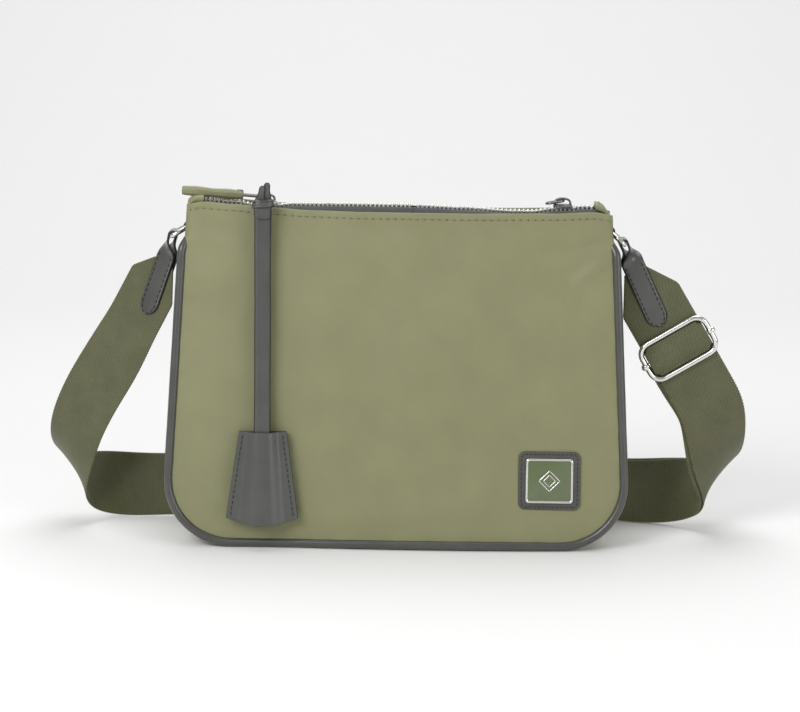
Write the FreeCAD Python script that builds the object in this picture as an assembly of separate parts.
import FreeCAD, Part
import math
import os

# Crossbody purse. Millimetres, +Z up, -Y is the front. The origin is on the ground, under the
# middle of the purse with its strap laid behind it.

# ---- driving dimensions ----
BASE_HALF_WIDTH = 139.3      # piping line, carried down to the ground
TOP_HALF_WIDTH = 128.6       # piping line at the mouth
BODY_HEIGHT = 203.0
BASE_HALF_DEPTH = 36.0       # panel planes at the ground
MOUTH_HALF_DEPTH = 15.0      # panel planes at the mouth
CORNER_RADIUS = 38.0
PIPING_RADIUS = 2.75
PIPING_CLEARANCE = 0.05
PIPING_TOP = 184.0
GROUND_GAP = 0.2
PANEL_OUTSIDE = 0.8          # the panel's skin in front of its plane
PANEL_INSIDE = 2.0           # and behind it
GUSSET_INSET = 6.0           # the side gusset is tucked in from the piping line
GUSSET_THICK = 1.5
LINING_THICK = 0.6
SKIN_GAP = 0.1               # between layers that lie on each other
BOARD_THICK = 1.6

CHAIN_Z = 202.6              # middle plane of the zip
TAPE_THICK = 1.0
TAPE_INNER = 3.0
TOOTH_PITCH = 2.6
TOOTH_WIDTH = 1.2
TOOTH_HEIGHT = 2.6
TOOTH_TIP = 0.8              # the closed rows stop just short of the slider's post
ROW_SPINE = 1.9
OPEN_ROW_SHIFT = 0.75        # how far apart the rows stand beyond the sliders
FLAP_LEFT = -71.0
FLAP_RIGHT = 87.0
FLAP_GAP = 0.4
TAPE_END = 121.0

LEFT_SLIDER_X = -80.0
RIGHT_SLIDER_X = 98.0
SLIDER_LENGTH = 11.0
SLIDER_HALF_WIDTH = 4.6
PLATE_THICK = 1.6
PULL_PIVOT_Z = 207.9
PIN_RADIUS = 0.8
PIN_HOLE_RADIUS = 0.86

FOB_RING_PIVOT_Y = -6.9
FOB_RING_Z = 206.0
FOB_RING_RADIUS = 7.0
FOB_WIRE_RADIUS = 0.8
FOB_STRAP_WIDTH = 9.6
FOB_STRAP_THICK = 3.0
FOB_STRAP_OFFSET = 7.4       # from the panel's plane to the strap's back
BELL_TOP = 71.0
BELL_BOTTOM = 18.5

BADGE_X = 92.0
BADGE_LOW = 25.5
BADGE_WIDTH = 36.5
BADGE_HEIGHT = 34.5

SWING_Z = 190.0              # the strap swings about the line through both D-rings
ANCHOR_X = 126.9
RING_WIRE = 1.4
RING_HALF_WIDTH = 9.2
RING_BEND = 1.8              # where the arc meets the bar
RING_REACH = RING_HALF_WIDTH + RING_BEND
TAB_WIDTH = 13.6
TAB_LENGTH = 55.0
TAB_TWIST_LENGTH = 13.0      # from the ring's bar to where it lies flat on the webbing
LEFT_TAB_AIM = (-150.85, 0, 129.9)
RIGHT_TAB_AIM = (159.0, 0, 133.2)
LEATHER = 1.5
WEB_WIDTH = 40.0
WEB_THICK = 1.6

LOOP_OUTER = 3.3             # the leather loop round each D-ring
LOOP_INNER = 2.1
SLIDER_HALF_LONG = 22.1      # the strap slider's wire middle lines
SLIDER_HALF_SHORT = 11.9
SLIDER_WIRE = 1.65
SLIDER_PLANE = -(WEB_THICK / 2 + 0.35 + SLIDER_WIRE)

# Each route runs from under the leather tab, down the leg, round the turn at the ground and
# along behind the purse. A row is a point on the strap's middle line and the direction from
# the edge nearer the purse to the outer edge.
LEFT_LEG = [(-141.5, 0, 168.0), (-148.0, 0, 155.5), (-155.0, 0, 142.1), (-161.9, 0, 128.9)]
LEFT_LEG_OUTWARD = (-0.71, 0.55, 0.37)
LEFT_TURN = [((-174, 1, 107), (-0.74, 0.40, 0.50)), ((-187, 4, 85), (-0.79, 0.42, 0.44)),
             ((-196, 8, 66), (-0.79, 0.48, 0.38)), ((-199.6, 13, 49), (-0.71, 0.53, 0.46)),
             ((-199, 20, 36), (-0.60, 0.62, 0.50)), ((-192, 28, 27.5), (-0.42, 0.62, 0.66)),
             ((-181, 34, 23), (-0.22, 0.42, 0.88)), ((-166, 38.6, 21), (-0.08, 0.16, 0.98)),
             ((-145, 40.3, 20.8), (0, 0, 1)), ((-120, 40.4, 21.5), (0, 0, 1)),
             ((-90, 40.4, 23), (0, 0, 1)), ((-66, 40.4, 24.4), (0, 0, 1))]
RIGHT_LEG_ANGLE = 31.0
RIGHT_LEG_POINT = (170.3, 0, 119.0)
RIGHT_LEG_STEPS = (-56.0, -42.0, -26.0, 0.0, 22.0, 42.0)
RIGHT_TURN = [((196.0, 4, 66), (0.89, 0.22, 0.40)), ((197.3, 10.5, 49), (0.84, 0.45, 0.30)),
              ((197.5, 19, 37), (0.70, 0.62, 0.34)), ((191.5, 28, 28), (0.46, 0.70, 0.55)),
              ((181, 35, 23.5), (0.20, 0.46, 0.86)), ((166, 40.5, 21.5), (0.05, 0.16, 0.98)),
              ((146, 42.5, 21), (0, 0, 1)), ((110, 42.6, 21.5), (0, 0, 1)),
              ((60, 42.6, 22.5), (0, 0, 1)), ((10, 42.6, 23.8), (0, 0, 1)),
              ((-30, 43.0, 24.4), (0, 0, 1)), ((-40, 44.5, 24.4), (0, 0, 1))]
STRAP_RING_X = -49.0
STRAP_RING_Y = 42.5
STRAP_RING_Z = 24.4
STRAP_RING_HALF = 8.0        # between the ring's two long sides
BACK_LAYER_GAP = 0.3

LEAN = math.degrees(math.atan((BASE_HALF_DEPTH - MOUTH_HALF_DEPTH) / BODY_HEIGHT))
V = FreeCAD.Vector

os.makedirs("parts", exist_ok=True)


def save(name, shape):
    shape.exportStep("parts/" + name + ".step")


def box(low, high):
    size = V(*high) - V(*low)
    return Part.makeBox(size.x, size.y, size.z, V(*low))


def rod(start, end, radius):
    start, end = V(*start), V(*end)
    return Part.makeCylinder(radius, (end - start).Length, start, end - start)


def tilted(shape, back=False):
    """Leans a shape drawn in the XZ plane onto the front panel's plane, or the back one's."""
    side = 1 if back else -1
    placed = shape.copy()
    if back:
        placed = placed.mirror(V(0, 0, 0), V(0, 1, 0))
    placed.rotate(V(0, 0, 0), V(1, 0, 0), side * LEAN)
    placed.translate(V(0, side * BASE_HALF_DEPTH, 0))
    return placed


# ---- the body's outline: a flat base, round lower corners and sides that lean in ----
def outline_edges(inset, base, top):
    """Open path from the upper left down, along the base and up to the upper right."""
    lean = (BASE_HALF_WIDTH - TOP_HALF_WIDTH) / BODY_HEIGHT
    slope = math.hypot(1, lean)
    radius = CORNER_RADIUS - inset

    def side_x(z):
        return BASE_HALF_WIDTH - lean * z - inset * slope

    corner = V(side_x(base), 0, base)
    up = (V(side_x(top), 0, top) - corner).normalize()
    inward = V(-1, 0, 0)
    half_angle = up.getAngle(inward) / 2
    reach = radius / math.tan(half_angle)
    bisector = (up + inward).normalize()
    centre = corner + bisector * (radius / math.sin(half_angle))
    points = [V(side_x(top), 0, top), corner + up * reach, centre - bisector * radius,
              corner + inward * reach]
    left = [V(-p.x, 0, p.z) for p in points]
    return [Part.LineSegment(left[0], left[1]).toShape(),
            Part.Arc(left[1], left[2], left[3]).toShape(),
            Part.LineSegment(left[3], points[3]).toShape(),
            Part.Arc(points[3], points[2], points[1]).toShape(),
            Part.LineSegment(points[1], points[0]).toShape()]


def outline_plate(inset, base, top, front, back):
    """A plate inside the outline, from y = front to y = back."""
    edges = outline_edges(inset, base, top)
    ends = [edges[-1].Vertexes[-1].Point, edges[0].Vertexes[0].Point]
    edges.append(Part.LineSegment(*ends).toShape())
    face = Part.Face(Part.Wire(edges))
    face.translate(V(0, front, 0))
    return face.extrude(V(0, back - front, 0))


def piping_tube(radius, top):
    edges = outline_edges(0, PIPING_RADIUS + GROUND_GAP, top)
    path = Part.Wire(edges)
    start = edges[0].Vertexes[0].Point
    direction = edges[0].Vertexes[1].Point - start
    ring = Part.Wire([Part.makeCircle(radius, start, direction)])
    return path.makePipeShell([ring], True, False)


def between_panels(shape, clearance):
    """Keeps what lies between the two panel planes, that far inside them."""
    reach = 400
    wedge = Part.makePolygon([V(-reach, -BASE_HALF_DEPTH + clearance, 0),
                              V(-reach, BASE_HALF_DEPTH - clearance, 0),
                              V(-reach, MOUTH_HALF_DEPTH - clearance, BODY_HEIGHT),
                              V(-reach, -MOUTH_HALF_DEPTH + clearance, BODY_HEIGHT),
                              V(-reach, -BASE_HALF_DEPTH + clearance, 0)])
    return shape.common(Part.Face(wedge).extrude(V(2 * reach, 0, 0)))


def panel(back=False):
    edge = PIPING_RADIUS + PIPING_CLEARANCE
    base = 2 * PIPING_RADIUS + GROUND_GAP + PIPING_CLEARANCE
    return tilted(outline_plate(edge, base, BODY_HEIGHT, -PANEL_OUTSIDE, PANEL_INSIDE), back)


def gusset():
    depth = BASE_HALF_DEPTH
    outer = outline_plate(GUSSET_INSET, 0, BODY_HEIGHT - 3, -depth, depth)
    inner = outline_plate(GUSSET_INSET + GUSSET_THICK, GUSSET_THICK, BODY_HEIGHT, -depth, depth)
    band = between_panels(outer.cut(inner), PANEL_INSIDE + PIPING_CLEARANCE)
    clear = piping_tube(PIPING_RADIUS + 2 * PIPING_CLEARANCE, PIPING_TOP)
    return band.cut(tilted(clear)).cut(tilted(clear, True))


def lining_panel(back=False):
    inset = GUSSET_INSET + GUSSET_THICK + LINING_THICK + 3 * SKIN_GAP
    base = GUSSET_THICK + BOARD_THICK + LINING_THICK + 10 * SKIN_GAP
    front = PANEL_INSIDE + SKIN_GAP
    return tilted(outline_plate(inset, base, BODY_HEIGHT - 4, front, front + LINING_THICK), back)


def lining_gusset():
    depth = BASE_HALF_DEPTH
    inset = GUSSET_INSET + GUSSET_THICK + SKIN_GAP
    base = GUSSET_THICK + BOARD_THICK + 4 * SKIN_GAP
    outer = outline_plate(inset, base, BODY_HEIGHT - 4, -depth, depth)
    inner = outline_plate(inset + LINING_THICK, base + LINING_THICK, BODY_HEIGHT, -depth, depth)
    return between_panels(outer.cut(inner), PANEL_INSIDE + 2 * SKIN_GAP)


def base_board():
    half_x, half_y = 90.0, 30.0
    low = GUSSET_THICK + SKIN_GAP
    board = box((-half_x, -half_y, low), (half_x, half_y, low + BOARD_THICK))
    corners = [e for e in board.Edges if abs(e.tangentAt(e.FirstParameter).z) > 0.9]
    return board.makeFillet(8, corners)


def slip_pocket():
    """An open-topped pocket sewn to the back lining."""
    inside = PANEL_INSIDE + LINING_THICK + 2 * SKIN_GAP
    pocket = box((-70, inside, 70), (70, inside + LINING_THICK, 160))
    return tilted(pocket, True)


# ---- zip ----
def tape(x_low, x_high, side):
    """One side's tape: side -1 is the front one."""
    ys = sorted([side * TAPE_INNER, side * (MOUTH_HALF_DEPTH - PANEL_INSIDE - 0.2)])
    half = TAPE_THICK / 2
    return box((x_low, ys[0], CHAIN_Z - half), (x_high, ys[1], CHAIN_Z + half))


def comb(x_low, x_high, side, shift=0.0):
    """A row of teeth on its spine, as one toothed outline."""
    count = int((x_high - x_low) / TOOTH_PITCH)
    first = x_low + (x_high - x_low - count * TOOTH_PITCH) / 2 + TOOTH_PITCH / 2
    spine, tip = ROW_SPINE + shift, TOOTH_TIP + shift
    outer = TAPE_INNER - 0.05 + shift
    points = [(x_low, outer), (x_low, spine)]
    for i in range(count):
        x = first + i * TOOTH_PITCH
        points += [(x - TOOTH_WIDTH / 2, spine), (x - TOOTH_WIDTH / 2, tip),
                   (x + TOOTH_WIDTH / 2, tip), (x + TOOTH_WIDTH / 2, spine)]
    points += [(x_high, spine), (x_high, outer)]
    points.append(points[0])
    low = CHAIN_Z - TOOTH_HEIGHT / 2
    wire = Part.makePolygon([V(x, side * y, low) for x, y in points])
    return Part.Face(wire).extrude(V(0, 0, TOOTH_HEIGHT))


def open_tape(x_low, x_high, side):
    ys = sorted([side * (TAPE_INNER + OPEN_ROW_SHIFT),
                 side * (MOUTH_HALF_DEPTH - PANEL_INSIDE - 0.2)])
    half = TAPE_THICK / 2
    return box((x_low, ys[0], CHAIN_Z - half), (x_high, ys[1], CHAIN_Z + half))


def end_pair(maker, x_low, x_high):
    return Part.makeCompound([maker(x_low, x_high, side) for side in (-1, 1)])


def open_comb(x_low, x_high, side):
    return comb(x_low, x_high, side, OPEN_ROW_SHIFT)


def zip_end_tab(side):
    """The fabric cap folded over each end of the zip."""
    xs = sorted([side * (TAPE_END + 0.3), side * (TOP_HALF_WIDTH - 5.0)])
    return box((xs[0], -10, CHAIN_Z - 2.0), (xs[1], 10, CHAIN_Z + 3.2))


def slider(x, post_side):
    """A zip slider: two plates, side lips and the post where the rows part."""
    half = SLIDER_LENGTH / 2
    top = CHAIN_Z + TOOTH_HEIGHT / 2 + 0.35
    bottom = CHAIN_Z - TOOTH_HEIGHT / 2 - 0.35
    lip_gap = TAPE_THICK / 2 + 0.35
    wide = SLIDER_HALF_WIDTH
    body = box((x - half, -wide, top), (x + half, wide, top + PLATE_THICK))
    body = body.fuse(box((x - half, -wide, bottom - PLATE_THICK), (x + half, wide, bottom)))
    for side in (-1, 1):
        ys = sorted([side * (wide - 0.8), side * wide])
        body = body.fuse(box((x - half, ys[0], CHAIN_Z + lip_gap), (x + half, ys[1], top)))
        body = body.fuse(box((x - half, ys[0], bottom), (x + half, ys[1], CHAIN_Z - lip_gap)))
    post = x + post_side * (half - 1.6)
    body = body.fuse(box((post - 1.4, -0.45, bottom - 0.5), (post + 1.4, 0.45, top + 0.5)))
    return body.removeSplitter()


def slider_bridge(x):
    """The bridge on the slider's back that holds the pull, with the pull's pin hole."""
    low = CHAIN_Z + TOOTH_HEIGHT / 2 + 0.35 + PLATE_THICK
    bridge = box((x - 3.2, -1.3, low), (x + 3.2, 1.3, PULL_PIVOT_Z + 2.0))
    rounded = [e for e in bridge.Edges
               if abs(e.tangentAt(e.FirstParameter).y) > 0.9 and e.CenterOfMass.z > low + 1]
    bridge = bridge.makeFillet(1.6, rounded)
    return bridge.cut(rod((x, -2, PULL_PIVOT_Z), (x, 2, PULL_PIVOT_Z), PIN_HOLE_RADIUS))


def fob_lug():
    """The eye on the left slider's front edge that carries the ring."""
    low = CHAIN_Z + TOOTH_HEIGHT / 2 + 0.35
    x = LEFT_SLIDER_X
    lug = box((x - 0.8, FOB_RING_PIVOT_Y - 2.2, FOB_RING_Z - 1.7),
              (x + 0.8, -SLIDER_HALF_WIDTH - 0.02, low + 3.6))
    hole = rod((x - 2, FOB_RING_PIVOT_Y, FOB_RING_Z), (x + 2, FOB_RING_PIVOT_Y, FOB_RING_Z),
               FOB_WIRE_RADIUS + 0.25)
    return lug.cut(hole)


def pull_pin(x):
    return rod((x, -2.4, PULL_PIVOT_Z), (x, 2.4, PULL_PIVOT_Z), PIN_RADIUS)


def pull_link(x, length, drop):
    """Two cheeks on the pin that reach out to the pull."""
    link = pull_pin(x)
    for side in (-1, 1):
        ys = sorted([side * 1.5, side * 2.4])
        cheek = box((x - length, ys[0], PULL_PIVOT_Z - 1.1), (x + 1.4, ys[1], PULL_PIVOT_Z + 1.1))
        link = link.fuse(cheek)
    end = box((x - length - 1.2, -2.4, PULL_PIVOT_Z - 1.1), (x - length, 2.4, PULL_PIVOT_Z + 1.1))
    link = link.fuse(end).removeSplitter()
    link.rotate(V(x, 0, PULL_PIVOT_Z), V(0, 1, 0), drop)
    return link


def pull_tab():
    """A faceted bar, waisted in the middle, that lies along the zip."""
    length, half_height, half_wide = 36.5, 2.9, 4.0
    sections = []
    for t, grow in ((0, 0.82), (0.24, 1.0), (0.5, 0.88), (0.76, 1.0), (1, 0.82)):
        h, w = half_height * grow, half_wide * grow
        ring = [(w, h * 0.45), (w * 0.6, h), (-w * 0.6, h), (-w, h * 0.45),
                (-w, -h * 0.45), (-w * 0.6, -h), (w * 0.6, -h), (w, -h * 0.45)]
        x = LEFT_SLIDER_X - 11.6 - length * t
        corners = [V(x, y, PULL_PIVOT_Z - 0.2 + z) for y, z in ring]
        sections.append(Part.makePolygon(corners + corners[:1]))
    bar = Part.makeLoft(sections, True, True)
    bar.rotate(V(LEFT_SLIDER_X, 0, PULL_PIVOT_Z), V(0, 1, 0), 4.0)
    return bar


# ---- strips of leather and webbing ----
def strip(sections):
    """A closed solid through cross-sections, each with its centre, half width and half
    thickness vectors."""
    rings = []
    for centre, wide, thick in sections:
        rings.append([centre - wide - thick, centre + wide - thick,
                      centre + wide + thick, centre - wide + thick])
    faces = []
    for here, there in zip(rings, rings[1:]):
        for i in range(4):
            j = (i + 1) % 4
            for a, b, c in ((here[i], here[j], there[j]), (here[i], there[j], there[i])):
                faces.append(Part.Face(Part.makePolygon([a, b, c, a])))
    for ring in (rings[0], rings[-1]):
        for a, b, c in ((0, 1, 2), (0, 2, 3)):
            faces.append(Part.Face(Part.makePolygon([ring[a], ring[b], ring[c], ring[a]])))
    shell = Part.makeShell(faces)
    shell.sewShape()
    solid = Part.Solid(Part.Shell(shell.Faces))
    if solid.Volume < 0:
        solid.reverse()
    return solid


def smooth(points, steps):
    """Points on the smooth curve through the given ones, that many steps a span."""
    padded = [points[0] * 2 - points[1]] + points + [points[-1] * 2 - points[-2]]
    result = []
    for a, b, c, d in zip(padded, padded[1:], padded[2:], padded[3:]):
        for k in range(steps):
            t = k / steps
            result.append((b * 2 + (c - a) * t + (a * 2 - b * 5 + c * 4 - d) * t ** 2
                           + (b * 3 - a - c * 3 + d) * t ** 3) * 0.5)
    return result + [points[-1]]


def frames(centres, outward):
    """Centre, unit width vector and unit normal along a flat strap. The normal points to the
    hollow side of its curl."""
    result = []
    for i, centre in enumerate(centres):
        ahead = centres[min(i + 1, len(centres) - 1)] - centres[max(i - 1, 0)]
        along = V(ahead).normalize()
        wide = outward[i] - along * outward[i].dot(along)
        wide.normalize()
        normal = along.cross(wide)
        if centres[0].x > 0:
            normal = normal * -1
        result.append((centre, wide, normal))
    return result


def layer(route, offset, half_widths=None):
    """Cross-sections of one webbing layer, set off from the route along its normal."""
    sections = []
    for i, (centre, wide, normal) in enumerate(route):
        low, high = (half_widths or {}).get(i, (WEB_WIDTH / 2, WEB_WIDTH / 2))
        middle = centre + normal * offset + wide * ((high - low) / 2)
        sections.append((middle, wide * ((high + low) / 2), normal * (WEB_THICK / 2)))
    return sections


def right_leg_axes():
    angle = math.radians(RIGHT_LEG_ANGLE)
    along = V(math.sin(angle), 0, -math.cos(angle))
    return along, V(math.cos(angle), 0, math.sin(angle))


def strap_route(leg, leg_outward, turn, steps=4):
    centres = smooth([leg[-1]] + [V(*point) for point, _ in turn], steps)
    outward = smooth([leg_outward] + [V(*way) for _, way in turn], steps)
    return frames(leg[:-1] + centres, [leg_outward] * (len(leg) - 1) + outward)


def left_route():
    return strap_route([V(*p) for p in LEFT_LEG], V(*LEFT_LEG_OUTWARD), LEFT_TURN)


def right_route():
    along, outward = right_leg_axes()
    leg = [V(*RIGHT_LEG_POINT) + along * step for step in RIGHT_LEG_STEPS]
    return strap_route(leg, outward, RIGHT_TURN)


def fold(centre, radius, start, turn_axis):
    """Cross-sections half way round an upright bar, from the direction start."""
    sections = []
    for step in range(1, 6):
        way = FreeCAD.Rotation(turn_axis, 30.0 * step).multVec(start)
        sections.append((centre + way * radius, V(0, 0, WEB_WIDTH / 2), way * (WEB_THICK / 2)))
    return sections


def bar_fold_radius():
    return RING_WIRE + 0.12 + WEB_THICK / 2


def short_webbing():
    """From the left tab to the strap ring, round its bar and sewn back on itself."""
    sections = layer(left_route(), 0, {0: (3, 4), 1: (8, 20), 2: (14, 20)})
    bar = V(STRAP_RING_X - STRAP_RING_HALF, STRAP_RING_Y, STRAP_RING_Z)
    radius = bar_fold_radius()
    up = V(0, 0, 1)
    sections = [(c, w, t * -1) for c, w, t in sections]
    sections.append((bar + V(-1, -radius, 0), up * (WEB_WIDTH / 2), V(0, -WEB_THICK / 2, 0)))
    sections += fold(bar, radius, V(0, -1, 0), up)
    sections.append((bar + V(0, radius, 0), up * (WEB_WIDTH / 2), V(0, WEB_THICK / 2, 0)))
    sections.append((bar + V(-24, radius - 0.8, 0), up * (WEB_WIDTH / 2), V(0, WEB_THICK / 2, 0)))
    return strip(sections)


def long_webbing():
    """From the right tab to the strap ring, round its bar and back to the strap's slider."""
    route = right_route()
    outer = layer(route, 0, {0: (3, 4), 1: (9, 20), 2: (20, 20)})
    bar = V(STRAP_RING_X + STRAP_RING_HALF, STRAP_RING_Y, STRAP_RING_Z)
    radius = bar_fold_radius()
    up = V(0, 0, 1)
    outer = [(c, w, t * -1) for c, w, t in outer]
    turn = [(bar + V(0, radius, 0), up * (WEB_WIDTH / 2), V(0, WEB_THICK / 2, 0))]
    turn += fold(bar, radius, V(0, 1, 0), up)
    turn.append((bar + V(0, -radius, 0), up * (WEB_WIDTH / 2), V(0, -WEB_THICK / 2, 0)))
    inner = layer(route[3:-6], WEB_THICK + BACK_LAYER_GAP)
    return strip(outer + turn + inner[::-1])


# ---- strap hardware ----
def wire_loop(corners, fillet, radius):
    """A closed round-wire loop through the corners, each rounded."""
    edges = []
    count = len(corners)
    starts, ends, middles = [], [], []
    for i, corner in enumerate(corners):
        before = (corners[i - 1] - corner).normalize()
        after = (corners[(i + 1) % count] - corner).normalize()
        half_angle = before.getAngle(after) / 2
        reach = fillet / math.tan(half_angle)
        bisector = (before + after).normalize()
        centre = corner + bisector * (fillet / math.sin(half_angle))
        starts.append(corner + before * reach)
        ends.append(corner + after * reach)
        middles.append(centre - bisector * fillet)
    for i in range(count):
        edges.append(Part.Arc(starts[i], middles[i], ends[i]).toShape())
        edges.append(Part.LineSegment(ends[i], starts[(i + 1) % count]).toShape())
    path = Part.Wire(edges)
    direction = starts[1] - ends[0]
    profile = Part.Wire([Part.makeCircle(radius, ends[0], direction)])
    return path.makePipeShell([profile], True, False)


def ring_frame(side):
    """The D-ring's rounded end and its outward direction."""
    droop = math.radians(30.0 if side < 0 else 40.0)
    return V(side * ANCHOR_X, 0, SWING_Z), V(side * math.cos(droop), 0, -math.sin(droop))


def d_ring(side):
    """A round arc on the bag's side and a straight bar for the tab, in one bent wire."""
    apex, out = ring_frame(side)
    half, bend = RING_HALF_WIDTH, RING_BEND

    def at(u, v):
        return apex + out * u + V(0, v, 0)

    corner = bend * (1 - math.sqrt(0.5))
    path = [Part.LineSegment(at(RING_REACH, 0), at(RING_REACH, half - bend)),
            Part.Arc(at(RING_REACH, half - bend), at(RING_REACH - corner, half - corner),
                     at(half, half)),
            Part.Arc(at(half, half), at(0, 0), at(half, -half)),
            Part.Arc(at(half, -half), at(RING_REACH - corner, corner - half),
                     at(RING_REACH, bend - half)),
            Part.LineSegment(at(RING_REACH, bend - half), at(RING_REACH, 0))]
    profile = Part.Wire([Part.makeCircle(RING_WIRE, at(RING_REACH, 0), V(0, 1, 0))])
    return Part.Wire([piece.toShape() for piece in path]).makePipeShell([profile], True, False)


def bar_point(side):
    apex, out = ring_frame(side)
    return apex + out * RING_REACH


def anchor_loop(side):
    """The loop that holds the D-ring's round end on the gusset."""
    centre = V(side * ANCHOR_X, -3, SWING_Z)
    outer = Part.makeCylinder(LOOP_OUTER, 6, centre, V(0, 1, 0))
    return outer.cut(Part.makeCylinder(LOOP_INNER, 8, centre - V(0, 1, 0), V(0, 1, 0)))


def anchor_patch(side):
    """The loop's leather tail, sewn down the gusset."""
    skin = outline_plate(GUSSET_INSET - 1.3, 0, BODY_HEIGHT, -5, 5)
    skin = skin.cut(outline_plate(GUSSET_INSET - 0.05, 0, BODY_HEIGHT, -6, 6))
    xs = sorted([side * 110, side * 150])
    return skin.common(box((xs[0], -5, 160), (xs[1], 5, SWING_Z - 3.6)))


def leather_tab(side):
    """A leather strap folded round the D-ring's bar, with the webbing's end between its two
    layers. It twists from the bar to the webbing's face."""
    bar = bar_point(side)
    route = left_route() if side < 0 else right_route()
    on_face, _, face = route[1]
    aim = V(*(LEFT_TAB_AIM if side < 0 else RIGHT_TAB_AIM))
    away = (aim - bar).normalize()
    reaches = (TAB_LENGTH, TAB_LENGTH - 0.7, TAB_LENGTH - 2.5, TAB_LENGTH - 5.5, 46, 40, 34, 28,
               23, 18, 15, 12, 9, 6.5, 4.5, 2.5)
    rounding = (0.22, 0.52, 0.8, 0.97)
    twist, middles = [], []
    for reach in reaches:
        blend = min(1.0, max(0.0, (reach - 2.5) / TAB_TWIST_LENGTH))
        blend = blend * blend * (3 - 2 * blend)
        middle = bar + away * reach
        middles.append(middle - face * ((middle - on_face).dot(face) * blend))
        twist.append(blend)
    front, back = [], []
    out = face
    for k, middle in enumerate(middles):
        ahead = middles[max(k - 1, 0)] - middles[min(k + 1, len(middles) - 1)]
        ahead = (away if k == len(middles) - 1 else ahead).normalize()
        across = face.cross(ahead).normalize()
        if across.x * side < 0:
            across = across * -1
        wide = V(0, 1, 0) * (1 - twist[k]) + across * twist[k]
        wide = (wide - ahead * wide.dot(ahead)).normalize()
        turned = wide.cross(ahead).normalize()
        out = turned * (-1 if turned.dot(out) < 0 else 1)
        width = TAB_WIDTH / 2 * (rounding[k] if k < len(rounding) else 1)
        off = WEB_THICK / 2 + 0.12 + LEATHER / 2 + 0.55 * (1 - twist[k])
        front.append((middle - out * off, wide * width, out * (-LEATHER / 2)))
        back.append((middle + out * off, wide * width, out * (LEATHER / 2)))
    radius = RING_WIRE + 0.1 + LEATHER / 2
    turn = []
    for step in range(7):
        angle = math.radians(-90 + 30 * step)
        way = out * math.sin(angle) - away * math.cos(angle)
        turn.append((bar + way * radius, wide * (TAB_WIDTH / 2), way * (LEATHER / 2)))
    return strip(front + turn + back[::-1])


def strap_ring():
    across, up = V(STRAP_RING_HALF, 0, 0), V(0, 0, 22.0)
    centre = V(STRAP_RING_X, STRAP_RING_Y, STRAP_RING_Z)
    corners = [centre - across - up, centre + across - up, centre + across + up,
               centre - across + up]
    return wire_loop(corners, 2.0, RING_WIRE)


def strap_slider_frame():
    along, outward = right_leg_axes()
    centre = V(*RIGHT_LEG_POINT) + V(0, SLIDER_PLANE, 0)
    corners = [centre + outward * (x * SLIDER_HALF_LONG) + along * (y * SLIDER_HALF_SHORT)
               for x, y in ((-1, -1), (1, -1), (1, 1), (-1, 1))]
    return wire_loop(corners, 5.0, SLIDER_WIRE)


def strap_slider_bar():
    _, outward = right_leg_axes()
    centre = V(*RIGHT_LEG_POINT) + V(0, SLIDER_PLANE, 0)
    reach = outward * (SLIDER_HALF_LONG - SLIDER_WIRE - 0.02)
    return Part.makeCylinder(1.5, reach.Length * 2, centre - reach, outward)


def strap_slider_web():
    """The stretch of webbing that rises over the slider's bar."""
    along, outward = right_leg_axes()
    base = V(*RIGHT_LEG_POINT)
    rise = [(-9.9, 1.8), (-7, 3.0), (-4, 4.6), (0, 5.3), (4, 4.6), (7, 3.0), (9.9, 1.8)]
    points = smooth([base + along * t + V(0, -y, 0) for t, y in rise], 2)
    sections = []
    for i, point in enumerate(points):
        ahead = points[min(i + 1, len(points) - 1)] - points[max(i - 1, 0)]
        normal = ahead.cross(outward).normalize()
        half = 19.9 - 0.9 * max(0.0, abs((point - base).dot(along)) - 6.0)
        sections.append((point, outward * half, normal * (WEB_THICK / 2)))
    return strip(sections)


# ---- the fob: ring, knot, strap and bell ----
def fob_ring():
    centre = V(LEFT_SLIDER_X, FOB_RING_PIVOT_Y - FOB_RING_RADIUS, FOB_RING_Z)
    return Part.makeTorus(FOB_RING_RADIUS, FOB_WIRE_RADIUS, centre, V(0, 0, 1))


def fob_plane_box(x_half, z_low, z_high, back, front, x=LEFT_SLIDER_X):
    """A box parallel to the front panel, set off from its plane."""
    return tilted(box((x - x_half, -front, z_low), (x + x_half, -back, z_high)))


def fob_knot():
    x = LEFT_SLIDER_X
    knot = box((x - 6.8, -26.2, 202.0), (x + 6.8, -17.0, 211.0))
    knot = knot.makeFillet(3.2, knot.Edges)
    centre = V(x, FOB_RING_PIVOT_Y - FOB_RING_RADIUS, FOB_RING_Z)
    knot = knot.cut(Part.makeTorus(FOB_RING_RADIUS, FOB_WIRE_RADIUS + 0.05, centre, V(0, 0, 1)))
    tails = []
    for shift, rise in ((-2.6, 9.0), (1.6, 12.0)):
        tails.append(box((x + shift - 1.9, -22.6, 211.05),
                         (x + shift + 1.9, -20.6, 211.05 + rise)))
    return Part.makeCompound([knot] + tails)


def fob_strap():
    half = FOB_STRAP_WIDTH / 2
    strap = fob_plane_box(half, 34.0, 206.0, FOB_STRAP_OFFSET, FOB_STRAP_OFFSET + FOB_STRAP_THICK)
    return strap.common(box((-200, -80, 0), (0, 0, 201.9)))


def fob_stop():
    """The strap's folded end inside the bell."""
    return fob_plane_box(6.4, 27.0, 33.9, FOB_STRAP_OFFSET, FOB_STRAP_OFFSET + FOB_STRAP_THICK)


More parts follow.
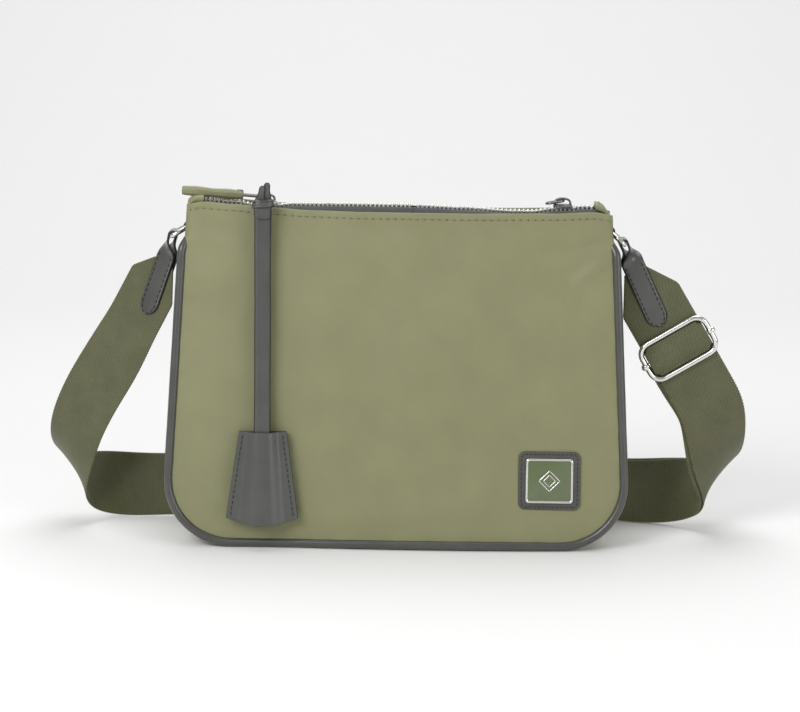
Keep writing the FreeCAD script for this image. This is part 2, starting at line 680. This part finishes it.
def bell_section(width, z, margin, dome):
    half = width / 2
    flat, crown = half - margin, dome
    outer = [(-half, 7.15), (-half, 8.5), (-flat, 8.5), (-crown - 1.4, 12.3),
             (crown + 1.4, 12.3), (flat, 8.5), (half, 8.5), (half, 7.15),
             (flat - 0.5, 7.15), (crown, 10.9), (-crown, 10.9), (0.5 - flat, 7.15)]
    points = [V(LEFT_SLIDER_X + x, -y, z) for x, y in outer]
    return Part.makePolygon(points + points[:1])


def bell_front():
    sections = [bell_section(28, BELL_TOP, 4.2, 5.7), bell_section(43, BELL_BOTTOM, 7.2, 8.5)]
    return tilted(Part.makeLoft(sections, True, True))


def bell_back():
    corners = [(-21.5, BELL_BOTTOM), (21.5, BELL_BOTTOM), (14, BELL_TOP), (-14, BELL_TOP)]
    points = [V(LEFT_SLIDER_X + x, -7.05, z) for x, z in corners]
    face = Part.Face(Part.makePolygon(points + points[:1]))
    return tilted(face.extrude(V(0, 1.4, 0)))


# ---- badge ----
def rounded_plate(width, height, radius, back, front):
    low, middle = BADGE_LOW, BADGE_LOW + BADGE_HEIGHT / 2
    plate = box((BADGE_X - width / 2, -front, middle - height / 2),
                (BADGE_X + width / 2, -back, middle + height / 2))
    upright = [e for e in plate.Edges if abs(e.tangentAt(e.FirstParameter).y) > 0.9]
    return plate.makeFillet(radius, upright)


def badge_patch():
    return tilted(rounded_plate(BADGE_WIDTH, BADGE_HEIGHT, 4.0, 0.9, 2.3))


def badge_frame():
    outer = rounded_plate(28.2, 26.6, 1.6, 2.35, 3.7)
    return tilted(outer.cut(rounded_plate(25.4, 23.8, 0.8, 2.0, 4.0)))


def badge_plate():
    return tilted(rounded_plate(25.3, 23.7, 0.75, 2.35, 3.3))


def build():
    save("front_panel", panel())
    save("back_panel", panel(True))
    save("gusset", gusset())
    save("front_piping", tilted(piping_tube(PIPING_RADIUS, PIPING_TOP)))
    save("back_piping", tilted(piping_tube(PIPING_RADIUS, PIPING_TOP), True))
    save("front_lining", lining_panel())
    save("back_lining", lining_panel(True))
    save("gusset_lining", lining_gusset())
    save("base_board", base_board())
    save("slip_pocket", slip_pocket())
    save("left_end_tapes", end_pair(open_tape, -TAPE_END, FLAP_LEFT - FLAP_GAP))
    save("right_end_tapes", end_pair(open_tape, FLAP_RIGHT + FLAP_GAP, TAPE_END))
    save("left_end_teeth", end_pair(open_comb, -TAPE_END + 4, FLAP_LEFT - FLAP_GAP))
    save("right_end_teeth", end_pair(open_comb, FLAP_RIGHT + FLAP_GAP, TAPE_END - 4))
    for side, name in ((-1, "front"), (1, "rear")):
        save(name + "_zip_tape", tape(FLAP_LEFT, FLAP_RIGHT, side))
        save(name + "_zip_teeth", comb(FLAP_LEFT, FLAP_RIGHT, side))
    for side, name in ((-1, "left"), (1, "right")):
        save(name + "_zip_end_tab", zip_end_tab(side))
        save(name + "_anchor_loop", anchor_loop(side))
        save(name + "_anchor_patch", anchor_patch(side))
        save(name + "_d_ring", d_ring(side))
        save(name + "_leather_tab", leather_tab(side))
    for x, post, name in ((LEFT_SLIDER_X, -1, "left"), (RIGHT_SLIDER_X, 1, "right")):
        save(name + "_zip_slider", slider(x, post))
        save(name + "_slider_bridge", slider_bridge(x))
    save("fob_lug", fob_lug())
    save("left_pull_link", pull_link(LEFT_SLIDER_X, 10.3, 4.0))
    save("left_pull_tab", pull_tab())
    save("right_pull_ring", pull_link(RIGHT_SLIDER_X, 7.4, 0))
    save("fob_ring", fob_ring())
    save("fob_knot", fob_knot())
    save("fob_strap", fob_strap())
    save("fob_stop", fob_stop())
    save("bell_front", bell_front())
    save("bell_back", bell_back())
    save("badge_patch", badge_patch())
    save("badge_frame", badge_frame())
    save("badge_plate", badge_plate())
    save("short_webbing", short_webbing())
    save("long_webbing", long_webbing())
    save("strap_ring", strap_ring())
    save("strap_slider_frame", strap_slider_frame())
    save("strap_slider_bar", strap_slider_bar())
    save("strap_slider_web", strap_slider_web())


build()
